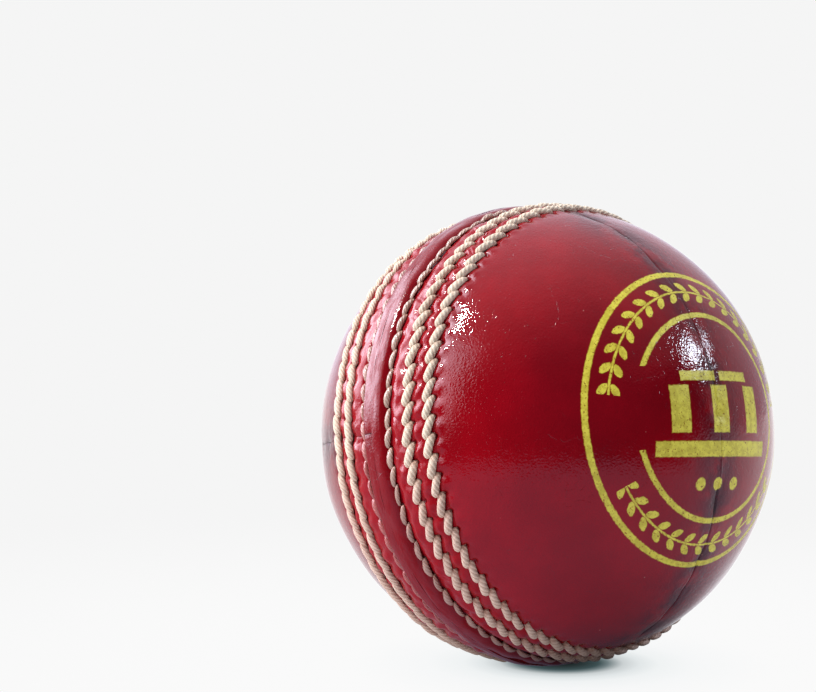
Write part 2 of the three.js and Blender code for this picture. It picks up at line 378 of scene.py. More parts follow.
def makeQuarter(cupName, index):
    cup = cups[cupName]
    start = math.radians(90 - cup["seamTurn"] + 180 * (1 - index))
    bandSteps = np.linspace(0, cover["bandEnd"], cover["bandRows"], endpoint=False)
    rest = np.linspace(0, 1, cover["plainRows"], endpoint=False)
    plain = cover["bandEnd"] + (poleOffset - cover["bandEnd"]) * (0.35 * rest + 0.65 * rest ** 1.4)
    offsets = np.concatenate([bandSteps, plain])
    angles = np.linspace(start, start + math.pi, cover["columns"] + 1)
    offset, angle = [a.ravel() for a in np.meshgrid(offsets, angles, indexing="ij")]
    latitude = offset / leatherRadius
    # the seam line wavers a little to either side, and the leather goes with it
    toSeam = np.abs(np.cos(latitude) * np.sin(angle - start)) * leatherRadius
    waver = 0.16 * np.sin(offset * 0.42 + cup["seed"]) + 0.09 * np.sin(offset * 1.1 + 1.7 * cup["seed"])
    waver = waver * np.exp(-(toSeam / 4) ** 2) * smoothBetween(offset, 0.5, 3) * np.cos(latitude)
    direction = towardPoint(cup["side"], latitude, angle)
    seamNormal = np.array([0, -math.cos(start + math.pi / 2), math.sin(start + math.pi / 2)])
    height, marks = leatherSurface(cup, offset, angle, toSeam, direction)
    points = direction * (leatherRadius + height)[:, None] + waver[:,
            None] * seamNormal * (1 if index else -1)
    # the pole, then the inside
    pole = np.array([[cup["side"], 0, 0]]) * (leatherRadius - 0.4)
    innerOffsets = np.array([0, 8, 18, 30, 43]) / leatherRadius
    innerLatitude, innerAngle = [a.ravel() for a in np.meshgrid(innerOffsets, angles, indexing="ij")]
    inner = towardPoint(cup["side"], innerLatitude, innerAngle) * (leatherRadius - leatherThickness)
    innerPole = np.array([[cup["side"], 0, 0]]) * (leatherRadius - leatherThickness)
    everything = np.concatenate([points, pole, inner, innerPole])
    everything += seamNormal * cover["seamGap"] + np.array([cup["side"] * cover["seamGap"], 0, 0])
    across = cover["columns"] + 1
    faces = []

    def addGrid(first, rowCount, turned):
        i, j = [a.ravel() for a in np.meshgrid(np.arange(rowCount - 1), np.arange(cover["columns"]),
                indexing="ij")]
        corner = first + i * across + j
        quads = np.stack([corner, corner + 1, corner + across + 1, corner + across], 1)
        faces.extend((quads[:, ::-1] if turned else quads).tolist())

    turned = cup["side"] > 0
    addGrid(0, len(offsets), turned)
    poleIndex = len(points)
    innerFirst = poleIndex + 1
    innerPoleIndex = innerFirst + len(inner)
    addGrid(innerFirst, len(innerOffsets), not turned)
    lastRow = (len(offsets) - 1) * across
    lastInner = innerFirst + (len(innerOffsets) - 1) * across
    for j in range(cover["columns"]):
        fan = [lastRow + j, lastRow + j + 1, poleIndex]
        innerFan = [lastInner + j + 1, lastInner + j, innerPoleIndex]
        lip = [j + 1, j, innerFirst + j, innerFirst + j + 1]
        for face in (fan, innerFan, lip):
            faces.append(face[::-1] if turned else face)
    outerEdge = [i * across for i in range(len(offsets))] + [poleIndex]
    outerEdge += [i * across + cover["columns"] for i in reversed(range(len(offsets)))]
    innerEdge = [innerFirst + i * across for i in range(len(innerOffsets))] + [innerPoleIndex]
    lastColumn = innerFirst + cover["columns"]
    innerEdge += [lastColumn + i * across for i in reversed(range(len(innerOffsets)))]
    wall = outerEdge + innerEdge[::-1]
    faces.append(wall[::-1] if turned else wall)
    name = f"leather_{cupName}_{cup['quarters'][index]}"
    mesh = bpy.data.meshes.new(name)
    mesh.from_pydata((everything * mm).tolist(), [], faces)
    count = len(points)
    for attribute, values in marks.items():
        padded = np.full(len(everything), 0.5)
        padded[:count] = values
        padded[count] = values[-1]
        mesh.attributes.new(attribute, "FLOAT", "POINT").data.foreach_set("value",
                padded.astype(np.float32))
    if cupName == "stamped":
        addStampMap(mesh, everything)
    mesh.polygons.foreach_set("use_smooth", [True] * len(mesh.polygons))
    mesh.set_sharp_from_angle(angle=math.radians(62))
    mesh.update()
    quarter = addObject(name, mesh)
    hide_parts(f"cover_{cupName}_{cup['quarters'][index]}")
    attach(quarter, "root")
    return quarter


# the foil stamp's own flat map, in units of 100 mm around the stamp's middle

stamp = {
    "middle": (0.99811, 0.06112, 0.00625),
    "turn": -4.5,
    "outerMiddle": (-1.53, -0.66),
    "innerMiddle": (-1.265, -0.783),
    "outerRadius": 23.27,
    "outerWidth": 0.96,
    "innerRadius": 15.75,
    "innerWidth": 0.85,
    "leafRadius": 19.8,
    "leafPitch": 3.3,
    "leafLength": 2.3,
    "leafWidth": 0.62,
    "leafTilt": 34,
    "foil": (0.82, 0.74, 0.085),
    "dullFoil": (0.64, 0.55, 0.05),
}


def addStampMap(mesh, points):
    middle = np.array(stamp["middle"]) / np.linalg.norm(stamp["middle"])
    up = np.array([0, 0, 1.0]) - middle[2] * middle
    up /= np.linalg.norm(up)
    right = np.cross(up, middle)
    unit = points / np.maximum(np.linalg.norm(points, axis=1), 1e-6)[:, None]
    away = np.arccos(np.clip(unit @ middle, -1, 1)) * leatherRadius
    flat = np.stack([unit @ right, unit @ up], 1)
    flat = flat / np.maximum(np.linalg.norm(flat, axis=1), 1e-9)[:, None] * away[:, None] / 100
    layer = mesh.uv_layers.new(name="stampPlace")
    corners = np.zeros(len(mesh.loops), np.int32)
    mesh.loops.foreach_get("vertex_index", corners)
    layer.data.foreach_set("uv", flat[corners].astype(np.float32).ravel())


# shared effects

def makeGrainGroup():
    group, given, wanted = newGroup("leatherGrain", {"Place": None, "Grain Size": 0.55},
            {"Height": "NodeSocketFloat"})
    size = maths("DIVIDE", 1.0, given["Grain Size"])
    wobble = addNode(group, "ShaderNodeTexNoise", {"Vector": given["Place"], "Scale": size,
            "Detail": 2.0})
    moved = vectorMaths("ADD", given["Place"], scaled(wobble.outputs["Color"], 0.35))
    cells = addNode(group, "ShaderNodeTexVoronoi", {"Vector": moved, "Scale": size},
                    feature="DISTANCE_TO_EDGE")
    creased = stepUp(cells.outputs["Distance"], 0.0, 0.42)
    fine = addNode(group, "ShaderNodeTexNoise", {"Vector": given["Place"], "Scale": times(size, 1.3),
            "Detail": 3.0}).outputs["Fac"]
    pores = addNode(group, "ShaderNodeTexVoronoi", {"Vector": given["Place"], "Scale": times(size, 0.9),
            "Randomness": 1.0})
    dot = stepUp(pores.outputs["Distance"], 0.09, 0.16, 1.0, 0.0)
    height = timesPlus(fine, 0.45, times(creased, 0.55))
    height = minus(height, times(dot, 0.5))
    group.links.new(height, wanted["Height"])
    return group


def makeWearGroup():
    group, given, wanted = newGroup("handlingMarks", {"Place": None, "Amount": 1.0},
            {"Scratches": "NodeSocketFloat", "Specks": "NodeSocketFloat", "Smudges": "NodeSocketFloat"})
    bend = addNode(group, "ShaderNodeTexNoise", {"Vector": given["Place"], "Scale": 0.16,
            "Detail": 3.0})
    moved = vectorMaths("ADD", given["Place"], scaled(bend.outputs["Color"], 9.0))
    lines = addNode(group, "ShaderNodeTexVoronoi", {"Vector": moved, "Scale": 0.17},
                    feature="DISTANCE_TO_EDGE")
    hair = stepUp(lines.outputs["Distance"], 0.0, 0.012, 1.0, 0.0)
    patches = stepUp(noiseAt(given["Place"], 7, 2), 0.53, 0.66)
    broken = stepUp(noiseAt(given["Place"], 0.8, 2), 0.42, 0.6)
    scratches = times(times(hair, patches), broken)
    dust = addNode(group, "ShaderNodeTexVoronoi", {"Vector": given["Place"], "Scale": 0.34,
            "Randomness": 1.0})
    speck = stepUp(dust.outputs["Distance"], 0.03, 0.055, 1.0, 0.0)
    chosen = stepUp(noiseAt(given["Place"], 3.5, 1), 0.5, 0.58)
    group.links.new(times(scratches, given["Amount"]), wanted["Scratches"])
    group.links.new(times(times(speck, chosen), given["Amount"]), wanted["Specks"])
    group.links.new(noiseAt(given["Place"], 6, 4, 0.6), wanted["Smudges"])
    return group


def makeFibreGroup():
    group, given, wanted = newGroup("threadFibre", {"Place": None, "Fibre Size": 0.16},
            {"Height": "NodeSocketFloat"})
    size = maths("DIVIDE", 1.0, given["Fibre Size"])
    fibre = addNode(group, "ShaderNodeTexNoise", {"Vector": given["Place"], "Scale": size,
            "Detail": 4.0, "Roughness": 0.65})
    group.links.new(fibre.outputs["Fac"], wanted["Height"])
    return group


grainGroup = makeGrainGroup()
wearGroup = makeWearGroup()
fibreGroup = makeFibreGroup()


def boxMask(across, up, middle, half, soft=0.12):
    # 1 inside a rectangle of the stamp's flat map
    x = minus(maths("ABSOLUTE", minus(across, middle[0])), half[0])
    y = minus(maths("ABSOLUTE", minus(up, middle[1])), half[1])
    return stepUp(maths("MAXIMUM", x, y), -soft, soft, 1.0, 0.0)


def ringMask(distance, radius, width, soft=0.1):
    off = maths("ABSOLUTE", minus(distance, radius))
    return stepUp(off, width / 2 - soft, width / 2 + soft, 1.0, 0.0)


def foilMask(tree, place):
    flat = scaled(addNode(tree, "ShaderNodeUVMap", uv_map="stampPlace").outputs[0], 100)
    # the printing's edges are a little ragged
    ragged = addNode(tree, "ShaderNodeTexNoise", {"Vector": place, "Scale": 2.2,
            "Detail": 3.0}).outputs["Color"]
    ragged = scaled(vectorMaths("SUBTRACT", ragged, (0.5, 0.5, 0.5)), 0.3)
    flat = vectorMaths("ADD", flat, ragged)
    turned = addNode(tree, "ShaderNodeMapping",
                     {"Vector": flat, "Rotation": (0, 0, math.radians(-stamp["turn"]))}).outputs[0]
    split = axesOf(turned)
    x, y = split["X"], split["Y"]
    flatOnly = combine(X=x, Y=y)
    outerPlace = vectorMaths("SUBTRACT", flatOnly, (*stamp["outerMiddle"], 0))
    innerPlace = vectorMaths("SUBTRACT", flatOnly, (*stamp["innerMiddle"], 0))
    distance = vectorMaths("LENGTH", outerPlace)
    outerSplit = axesOf(outerPlace)
    around = maths("ARCTAN2", outerSplit["Y"], outerSplit["X"])
    marks = [ringMask(distance, stamp["outerRadius"], stamp["outerWidth"])]
    # the inner ring, which the emblem interrupts
    inner = ringMask(vectorMaths("LENGTH", innerPlace), stamp["innerRadius"], stamp["innerWidth"])
    opening = times(maths("LESS_THAN", x, -6.0), maths("LESS_THAN", maths("ABSOLUTE", minus(y, 0.6)),
            6.3))
    marks.append(times(inner, minus(1.0, opening)))
    # a band of leaves between the rings, in two sprays
    cell = stamp["leafPitch"] / stamp["leafRadius"]
    step = minus(maths("FRACT", maths("DIVIDE", plus(around, 10.0), cell)), 0.5)
    along = times(step, stamp["leafPitch"])
    outward = minus(distance, stamp["leafRadius"])
    tilt = math.radians(stamp["leafTilt"])
    leaves = None
    for sign in (1, -1):
        # each leaf is an ellipse that leans out from the middle line of the band
        u = minus(along, 0.25)
        v = minus(outward, sign * 0.98)
        lengthwise = plus(times(u, math.cos(tilt)), times(v, sign * math.sin(tilt)))
        sideways = minus(times(v, math.cos(tilt)), times(u, sign * math.sin(tilt)))
        a = maths("POWER", maths("ABSOLUTE", maths("DIVIDE", lengthwise, stamp["leafLength"] / 2)), 1.7)
        b = maths("POWER", maths("ABSOLUTE", maths("DIVIDE", sideways, stamp["leafWidth"])), 1.7)
        leaf = stepUp(plus(a, b), 0.85, 1.15, 1.0, 0.0)
        leaves = leaf if leaves is None else maths("MAXIMUM", leaves, leaf)
    stem = ringMask(distance, stamp["leafRadius"], 0.34, 0.08)
    leaves = maths("MAXIMUM", leaves, stem)
    degrees = times(around, 180 / math.pi)
    upper = maths("LESS_THAN", maths("ABSOLUTE", minus(degrees, 88.0)), 82.0)
    lower = maths("LESS_THAN", maths("ABSOLUTE", plus(degrees, 88.0)), 60.0)
    marks.append(times(leaves, maths("MAXIMUM", upper, lower)))
    # the emblem: three stumps and two bails over a line of ground, with three dots under it
    for middle, half in (((-9.6, 0.3), (1.75, 3.5)), ((-1.6, 0.3), (1.75, 3.5)),
            ((6.4, 0.3), (1.75, 3.5)), ((-5.6, 5.2), (3.5, 0.72)), ((2.4, 5.2), (3.5, 0.72)),
            ((-1.7, -5.6), (12.4, 1.15))):
        marks.append(boxMask(x, y, middle, half))
    for middle in (-5.4, -1.6, 2.2):
        spot = vectorMaths("DISTANCE", flatOnly, (middle, -10.8, 0))
        marks.append(stepUp(spot, 0.85, 1.1, 1.0, 0.0))
    mask = marks[0]
    for mark in marks[1:]:
        mask = maths("MAXIMUM", mask, mark)
    # foil rubbed off in specks
    specks = stepUp(noiseAt(place, 0.33, 3, 0.6), 0.30, 0.42)
    return times(mask, specks)


leather = {
    "deep": (0.245, 0.0022, 0.007),
    "bright": (0.32, 0.0026, 0.0088),
    # paler band by the join: rubbed leather and painted sheen
    "rubbedSheen": (0.31, 0.005, 0.012),
    "ridge": (0.21, 0.0025, 0.007),
    # painted shade for the hollows and needle holes
    "groove": (0.17, 0.0013, 0.0035),
    "plain": (0.145, 0.0016, 0.005),
    "soiled": (0.035, 0.009, 0.012),
    "handled": (0.075, 0.006, 0.014),
    "darkPlace": (30.2, -18.5, 6.5),  # the middle of the dark patch, in mm
    # strength and depth in metres
    "relief": {"lumps": (0.5, 0.00007), "skin": (0.72, 0.00003), "scratches": (0.6, 0.00005)},
}


def makeLeather(name, stamped):
    material, tree, shader = newMaterial(name)
    place = millimetres(tree)
    grain = useGroup(tree, grainGroup, {"Place": place, "Grain Size": 0.54})
    wear = useGroup(tree, wearGroup, {"Place": place, "Amount": 1.0})
    sunkShade = readAttribute(tree, "sunkShade")
    soil = readAttribute(tree, "soil")
    dye = noiseAt(place, 9, 3)
    colour = mixColours(stepUp(dye, 0.3, 0.7), leather["deep"], leather["bright"])
    blotch = stepUp(noiseAt(place, 1.4, 3), 0.35, 0.7, 0.0, 0.25)
    colour = mixColours(blotch, colour, leather["deep"])
    band = readAttribute(tree, "sewnBand")
    if not stamped:
        colour = mixColours(0.6, colour, leather["plain"])
    colour = mixColours(band, colour, leather["ridge"])
    # the band by the join made paler: rubbing, and painted sheen
    colour = mixColours(readAttribute(tree, "rubbedSheen"), colour, leather["rubbedSheen"])
    # painted shade in the hollows and needle holes
    colour = mixColours(sunkShade, colour, leather["groove"])
    # hands have darkened the leather in the middle of the stamp, and around the quarter seam
    toMiddle = vectorMaths("DISTANCE", place, leather["darkPlace"])
    colour = mixColours(stepUp(toMiddle, 7, 19, 0.3, 0.0), colour, leather["handled"])
    creased = readAttribute(tree, "creased")
    handled = times(creased, stepUp(noiseAt(place, 5.5, 4, 0.6), 0.38, 0.58, 0.12, 0.85))
    colour = mixColours(handled, colour, leather["handled"])
    stain = times(soil, stepUp(noiseAt(place, 0.9, 4, 0.65), 0.25, 0.6, 0.35, 1.0))
    colour = mixColours(stain, colour, leather["soiled"])
    colour = mixColours(times(wear["Scratches"], 0.55), colour, (0.16, 0.01, 0.012))
    colour = mixColours(times(wear["Specks"], 0.5), colour, (0.62, 0.30, 0.28))
    rough = stepUp(wear["Smudges"], 0.3, 0.7, 0.03, 0.06)
    rough = plus(rough, times(stain, 0.35))
    # the lacquer lies thick and dull over the sewn band
    rough = plus(rough, times(band, 0.09))
    split = axesOf(place)
    turn = maths("ARCTAN2", split["Z"], split["Y"])
    streakAt = combine(X=times(split["X"], 0.55), Y=times(turn, 4.5))
    streaks = times(band, stepUp(noiseAt(streakAt, 0.55, 3, 0.6), 0.4, 0.62))
    shine = minus(timesPlus(band, -0.14, 0.5), times(streaks, 0.24))
    height = grain["Height"]
    if stamped:
        foil = foilMask(tree, place)
        # the foil worn dull in patches
        wearAndShade = mixColours(stepUp(noiseAt(place, 1.1, 4, 0.65), 0.4, 0.6), stamp["dullFoil"],
                          stamp["foil"])
        colour = mixColours(foil, colour, wearAndShade)
        rough = maths("MAXIMUM", rough, times(foil, 0.42))
        height = timesPlus(foil, 0.25, height)
    wrinkles = times(creased, noiseAt(place, 1.1, 3, 0.6, 0.8))
    lumps = timesPlus(wrinkles, 2.6, noiseAt(place, 1.6, 2))
    relief = leather["relief"]
    lumps = bumped(lumps, *relief["lumps"])
    skin = bumped(height, *relief["skin"], Normal=lumps)
    scratched = bumped(minus(0.0, wear["Scratches"]), *relief["scratches"], Normal=skin)
    setInputs(shader, {"Base Color": colour, "Roughness": rough, "Specular IOR Level": shine,
            "Normal": scratched,
            "Coat Weight": times(band, 0.13), "Coat Roughness": 0.22, "Coat Normal": skin})
    return material


stampedLeather = makeLeather("red_leather_stamped", True)
plainLeather = makeLeather("red_leather_plain", False)
for cupName, material in (("stamped", stampedLeather), ("plain", plainLeather)):
    for index in (0, 1):
        makeQuarter(cupName, index).data.materials.append(material)
print("leather cover made")


# the thread

thread = {
    "plies": 5,
    "plyTurns": 0.95,  # of one ply over the length of a stitch
    "clean": (0.88, 0.76, 0.63),
    # painted shade in the grooves between the plies
    "line": (0.46, 0.26, 0.18),
    # red dye and painted shade where the thread dives into the leather
    "dyeAndShade": (0.42, 0.20, 0.13),
    "grime": (0.36, 0.26, 0.20),
    "waxed": (0.52, 0.38, 0.32),
    "buried": (0.36, 0.06, 0.06),  # where the leather all but covers it
    "wearAndShade": (0.88, 0.74, 0.77),  # painted shade and red reflected light on the thread, low down
}


def makeThread(name, sealed, buried=False):
    # sealed thread lies under the leather's lacquer, and buried thread is painted dark red, more so
    # toward the bottom: painted shade where the leather all but covers it
    material, tree, shader = newMaterial(name)
    place = millimetres(tree)
    along = readAttribute(tree, "alongStitch")
    tone = readAttribute(tree, "stitchTone")
    around = maths("ARCTAN2", readAttribute(tree, "sectionUp"), readAttribute(tree, "sectionSide"))
    # plies wound round each other
    turns = times(along, thread["plyTurns"] * 2 * math.pi)
    wound = times(plus(around, turns), thread["plies"])
    ply = timesPlus(maths("COSINE", wound), 0.5, 0.5)
    groove = maths("POWER", ply, 3.5)
    base = thread["waxed"] if sealed else thread["clean"]
    colour = mixColours(stepUp(tone, 0.0, 1.0, 0.0, 0.2, "LINEAR"), base, thread["grime"])
    patchy = stepUp(noiseAt(place, 0.8, 3), 0.35, 0.7)
    # the stitch's ends, where it dives into the leather: red dye and painted shade
    lowEnd = stepUp(along, 0.0, 0.14, 1.0, 0.0)
    tuckedEnd = stepUp(along, 0.68, 0.98)
    dyeAndShade = times(maths("MAXIMUM", tuckedEnd, times(lowEnd, 0.45)),
                 timesPlus(patchy, 0.4, 0.4))
    colour = mixColours(dyeAndShade, colour, thread["dyeAndShade"])
    fibre = useGroup(tree, fibreGroup, {"Place": place, "Fibre Size": 0.14})
    # painted shade in the grooves between the plies, a darker line
    line = times(groove, stepUp(fibre["Height"], 0.35, 0.6, 0.25, 0.75))
    colour = mixColours(line, colour, thread["dyeAndShade"] if sealed else thread["line"])
    # painted shade and red reflected light: the thread darker and pinker toward the bottom
    low = axesOf(place)["Z"]
    colour = mixColours(stepUp(low, -12, 4, 1.0, 0.0), colour, mixColours(1.0, colour, thread["wearAndShade"],
            "MULTIPLY"))
    if buried:
        # painted shade: the row almost hidden under the leather darkens to dark red, more toward the
        # bottom
        colour = mixColours(stepUp(low, -4, 14, 0.9, 0.25), colour, thread["buried"])
    relief = timesPlus(fibre["Height"], 0.35, times(ply, -0.8))
    rough = (0.3, 0.5) if sealed else (0.65, 0.9)
    setInputs(shader, {"Base Color": colour, "Normal": bumped(relief, 0.8, 0.00012),
            "Roughness": stepUp(fibre["Height"], 0.3, 0.7, *rough)})
    setInputs(shader,
              {"Coat Weight": 0.35, "Coat Roughness": 0.15} if sealed else {"Sheen Weight": 0.1})
    return material


looseThread = makeThread("linen_thread", False)
sealedThread = makeThread("linen_thread_lacquered", True)
buriedThread = makeThread("linen_thread_buried", True, True)


def curveShape(node, points):
    curve = node.mapping.curves[0]
    while len(curve.points) > 2:
        curve.points.remove(curve.points[-2])
    curve.points[0].location = points[0]
    curve.points[1].location = points[-1]
    for at in points[1:-1]:
        curve.points.new(*at)
    node.mapping.update()


def makeStitchTree(name, thickness, lift):
    # one stitch, repeated at every point of the row it is given
    tree = bpy.data.node_groups.new(name, "GeometryNodeTree")
    sockets = tree.interface
    sockets.new_socket("Row", in_out="INPUT", socket_type="NodeSocketGeometry")
    for socketName, value in (("Length", 0.0033), ("Width", 0.0012), ("Flatness", 0.9),
            ("Rise", 0.0005), ("Sway", 0.0005), ("Unevenness", 0.08)):
        sockets.new_socket(socketName, in_out="INPUT",
                socket_type="NodeSocketFloat").default_value = value
    sockets.new_socket("Seed", in_out="INPUT", socket_type="NodeSocketInt").default_value = 1
    sockets.new_socket("Material", in_out="INPUT", socket_type="NodeSocketMaterial")
    sockets.new_socket("Stitches", in_out="OUTPUT", socket_type="NodeSocketGeometry")
    given = tree.nodes.new("NodeGroupInput").outputs
    wanted = tree.nodes.new("NodeGroupOutput").inputs
    half = times(given["Length"], 0.5)
    start = combine(X=times(half, -1.0))
    end = combine(X=half)
    line = addNode(tree, "GeometryNodeCurvePrimitiveLine", {"Start": start, "End": end}).outputs[0]
    line = addNode(tree, "GeometryNodeResampleCurve", {"Curve": line, "Count": 11}).outputs[0]
    # crowd the points toward the ends, which are round
    share = addNode(tree, "GeometryNodeSplineParameter").outputs["Factor"]
    eased = times(maths("COSINE", times(share, math.pi)), -0.5)
    spread = timesPlus(share, 0.45, timesPlus(eased, 0.55, -0.225))
    at = combine(X=times(spread, given["Length"]))
    line = addNode(tree, "GeometryNodeSetPosition", {"Geometry": line, "Position": at}).outputs[0]
    thick = addNode(tree, "ShaderNodeFloatCurve", {"Value": plus(spread, 0.5)})
    curveShape(thick, thickness)
    line = addNode(tree, "GeometryNodeSetCurveRadius",
                   {"Curve": line, "Radius": thick.outputs[0]}).outputs[0]
    radius = times(given["Width"], 0.5)
    section = addNode(tree, "GeometryNodeCurvePrimitiveCircle",
                      {"Resolution": 10, "Radius": radius}).outputs[0]
    tube = addNode(tree, "GeometryNodeCurveToMesh", {"Curve": line, "Profile Curve": section,
            "Fill Caps": True})
    if "Scale" in tube.inputs:
        tree.links.new(addNode(tree, "GeometryNodeInputRadius").outputs[0], tube.inputs["Scale"])
    tube = tube.outputs[0]
    placeNow = addNode(tree, "GeometryNodeInputPosition").outputs[0]
    split = axesOf(placeNow)
    along = plus(maths("DIVIDE", split["X"], given["Length"]), 0.5)
    for name, value in (("alongStitch", along), ("sectionSide", maths("DIVIDE", split["Y"], radius)),
            ("sectionUp", maths("DIVIDE", split["Z"], radius))):
        tube = addNode(tree, "GeometryNodeStoreNamedAttribute", {"Geometry": tube, "Name": name,
                "Value": value},
                       data_type="FLOAT", domain="POINT").outputs[0]
    # flatten it, bend it out of the leather and in again, and sway it so that its ends run with the row
    lifted = addNode(tree, "ShaderNodeFloatCurve", {"Value": along})
    curveShape(lifted, lift)
    rise = times(timesPlus(lifted.outputs[0], 2.0, -1.0), given["Rise"])
    upNow = timesPlus(split["Z"], given["Flatness"], rise)
    sway = times(maths("COSINE", times(along, math.pi)), given["Sway"])
    sideNow = minus(split["Y"], sway)
    bent = combine(X=split["X"], Y=sideNow, Z=upNow)
    tube = addNode(tree, "GeometryNodeSetPosition", {"Geometry": tube, "Position": bent}).outputs[0]
    tube = addNode(tree, "GeometryNodeSetShadeSmooth", {"Geometry": tube}).outputs[0]
    # set one at every point of the row
    lifts = addNode(tree, "GeometryNodeInputNamedAttribute", {"Name": "lifts"},
                    data_type="FLOAT_VECTOR").outputs[0]
    runs = addNode(tree, "GeometryNodeInputNamedAttribute", {"Name": "runs"},
                   data_type="FLOAT_VECTOR").outputs[0]
    turn = addNode(tree, "FunctionNodeAxesToRotation", {"Primary Axis": lifts, "Secondary Axis": runs},
                   primary_axis="Z", secondary_axis="X").outputs[0]
    least = minus(1.0, given["Unevenness"])
    most = plus(1.0, given["Unevenness"])
    size = addNode(tree, "FunctionNodeRandomValue", {"Seed": given["Seed"]}, data_type="FLOAT_VECTOR")
    tree.links.new(combine(X=0.98, Y=least, Z=least), size.inputs[0])
    tree.links.new(combine(X=1.02, Y=most, Z=most), size.inputs[1])
    placed = addNode(tree, "GeometryNodeInstanceOnPoints",
                     {"Points": given["Row"], "Instance": tube, "Rotation": turn,
                      "Scale": size.outputs[0]}).outputs[0]
    tone = addNode(tree, "FunctionNodeRandomValue", {"Seed": given["Seed"]}, data_type="FLOAT")
    placed = addNode(tree, "GeometryNodeStoreNamedAttribute",
                     {"Geometry": placed, "Name": "stitchTone"},
                     data_type="FLOAT", domain="INSTANCE")
    tree.links.new(tone.outputs[1], placed.inputs["Value"])
    real = addNode(tree, "GeometryNodeRealizeInstances", {"Geometry": placed.outputs[0]}).outputs[0]
    real = addNode(tree, "GeometryNodeSetMaterial",
                   {"Geometry": real, "Material": given["Material"]}).outputs[0]
    tree.links.new(real, wanted["Stitches"])
    return tree


stitches = {
    # share of the length against thickness, and against height: 1 is up by the rise, 0 down by it
    "loose": {"Width": 1.3, "Flatness": 0.88, "Rise": 0.46, "Sway": 0.42, "Unevenness": 0.07,
              "thickness": [(0, 0.4), (0.03, 0.68), (0.09, 0.9), (0.2, 1.0), (0.7, 1.0), (0.9, 0.98),
        (0.97, 0.86), (1, 0.6)],
              "lift": [(0, 0.78), (0.1, 0.94), (0.3, 1.0), (0.55, 0.95), (0.8, 0.72), (1, 0.34)]},
    "sealed": {"Width": 1.0, "Flatness": 0.72, "Rise": 0.26, "Sway": 0.16, "Unevenness": 0.26,
               "thickness": [(0, 0.4), (0.15, 0.82), (0.5, 1.0), (0.85, 0.85), (1, 0.4)],
               "lift": [(0, 0.2), (0.2, 0.75), (0.5, 1.0), (0.8, 0.7), (1, 0.1)]},
    "heights": {"closing": 0.16, "middle": 0.1, "outer": 0.1},
    # of the thread's line over the plain leather
}
looseTree = makeStitchTree("looseStitch", stitches["loose"]["thickness"], stitches["loose"]["lift"])
sealedTree = makeStitchTree("sealedStitch", stitches["sealed"]["thickness"], stitches["sealed"]["lift"])


def makeStitchRow(cupName, rowName):
    cup, row = cups[cupName], rows[rowName]
    draw = np.random.default_rng(cup["seed"] * 7 + len(rowName))
    angle = (np.arange(row["count"]) + cup["phases"][rowName]) * row["pitch"] + draw.normal(0, 0.0035,
            row["count"])
    stray = rowWander(angle, cup["seed"]) if rowName != "closing" else 0.3 * rowWander(angle,
            cup["seed"])
    offset = row["offset"] + stray + draw.normal(0, 0.035, row["count"])
    latitude = offset / leatherRadius
    lifts = towardPoint(cup["side"], latitude, angle)
    around = np.stack([np.zeros_like(angle), np.sin(angle), np.cos(angle)], 1)
    outward = np.stack([cup["side"] * np.cos(latitude), np.sin(latitude) * np.cos(angle),
            -np.sin(latitude) * np.sin(angle)], 1)
    slant = np.radians((row["slant"] if rowName == "closing" else 0) + draw.normal(0, 2.2,
            row["count"]))[:, None]
    runs = around * np.cos(slant) + outward * np.sin(slant)
    middle = lifts * (leatherRadius + stitches["heights"][rowName])
    name = f"stitches_{rowName}_{cupName}"
    mesh = bpy.data.meshes.new(name + "_points")
    mesh.from_pydata((middle * mm).tolist(), [], [])
    for attribute, values in (("lifts", lifts), ("runs", runs)):
        mesh.attributes.new(attribute, "FLOAT_VECTOR", "POINT").data.foreach_set("vector",
                values.astype(np.float32).ravel())
    seam = addObject(name, mesh)
    sealed = rowName == "closing"
    recipe = stitches["sealed" if sealed else "loose"]
    sew = seam.modifiers.new("sew", "NODES")
    sew.node_group = sealedTree if sealed else looseTree
    sockets = {s.name: s.identifier for s in sew.node_group.interface.items_tree if s.in_out == "INPUT"}
    values = {"Length": row["length"] * mm, "Width": recipe["Width"] * mm, "Rise": recipe["Rise"] * mm,
              "Sway": recipe["Sway"] * mm * -cup["side"], "Flatness": recipe["Flatness"],
              "Unevenness": recipe["Unevenness"], "Seed": cup["seed"] + len(rowName),
              "Material": cup["closingThread"] if sealed else looseThread}
    for socketName, value in values.items():
        sew[sockets[socketName]] = value
    evaluated = seam.evaluated_get(bpy.context.evaluated_depsgraph_get())
    sewn = bpy.data.meshes.new_from_object(evaluated)
    seam.modifiers.clear()
    seam.data = sewn
    sewn.name = name
    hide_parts(f"{row['node']}_{cupName}")
    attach(seam, "root")
    return seam


cups["stamped"]["closingThread"] = sealedThread
cups["plain"]["closingThread"] = buriedThread  # the leather all but covers this row
for cupName in cups:
    for rowName in rows:
        makeStitchRow(cupName, rowName)
print("rows of stitching sewn")


# what is inside the cover keeps its own solids, with their materials

inside = {
    "core": {"dark": (0.07, 0.03, 0.014), "light": (0.34, 0.19, 0.09), "grain": 1.5},
    "cork": {"dark": (0.20, 0.095, 0.04), "light": (0.50, 0.30, 0.14), "grain": 1.1},
    "yarn": {"dark": (0.42, 0.34, 0.22), "light": (0.76, 0.68, 0.52), "width": 0.9},
    "lining": {"dark": (0.27, 0.17, 0.09), "light": (0.46, 0.32, 0.19), "grain": 0.4},
}


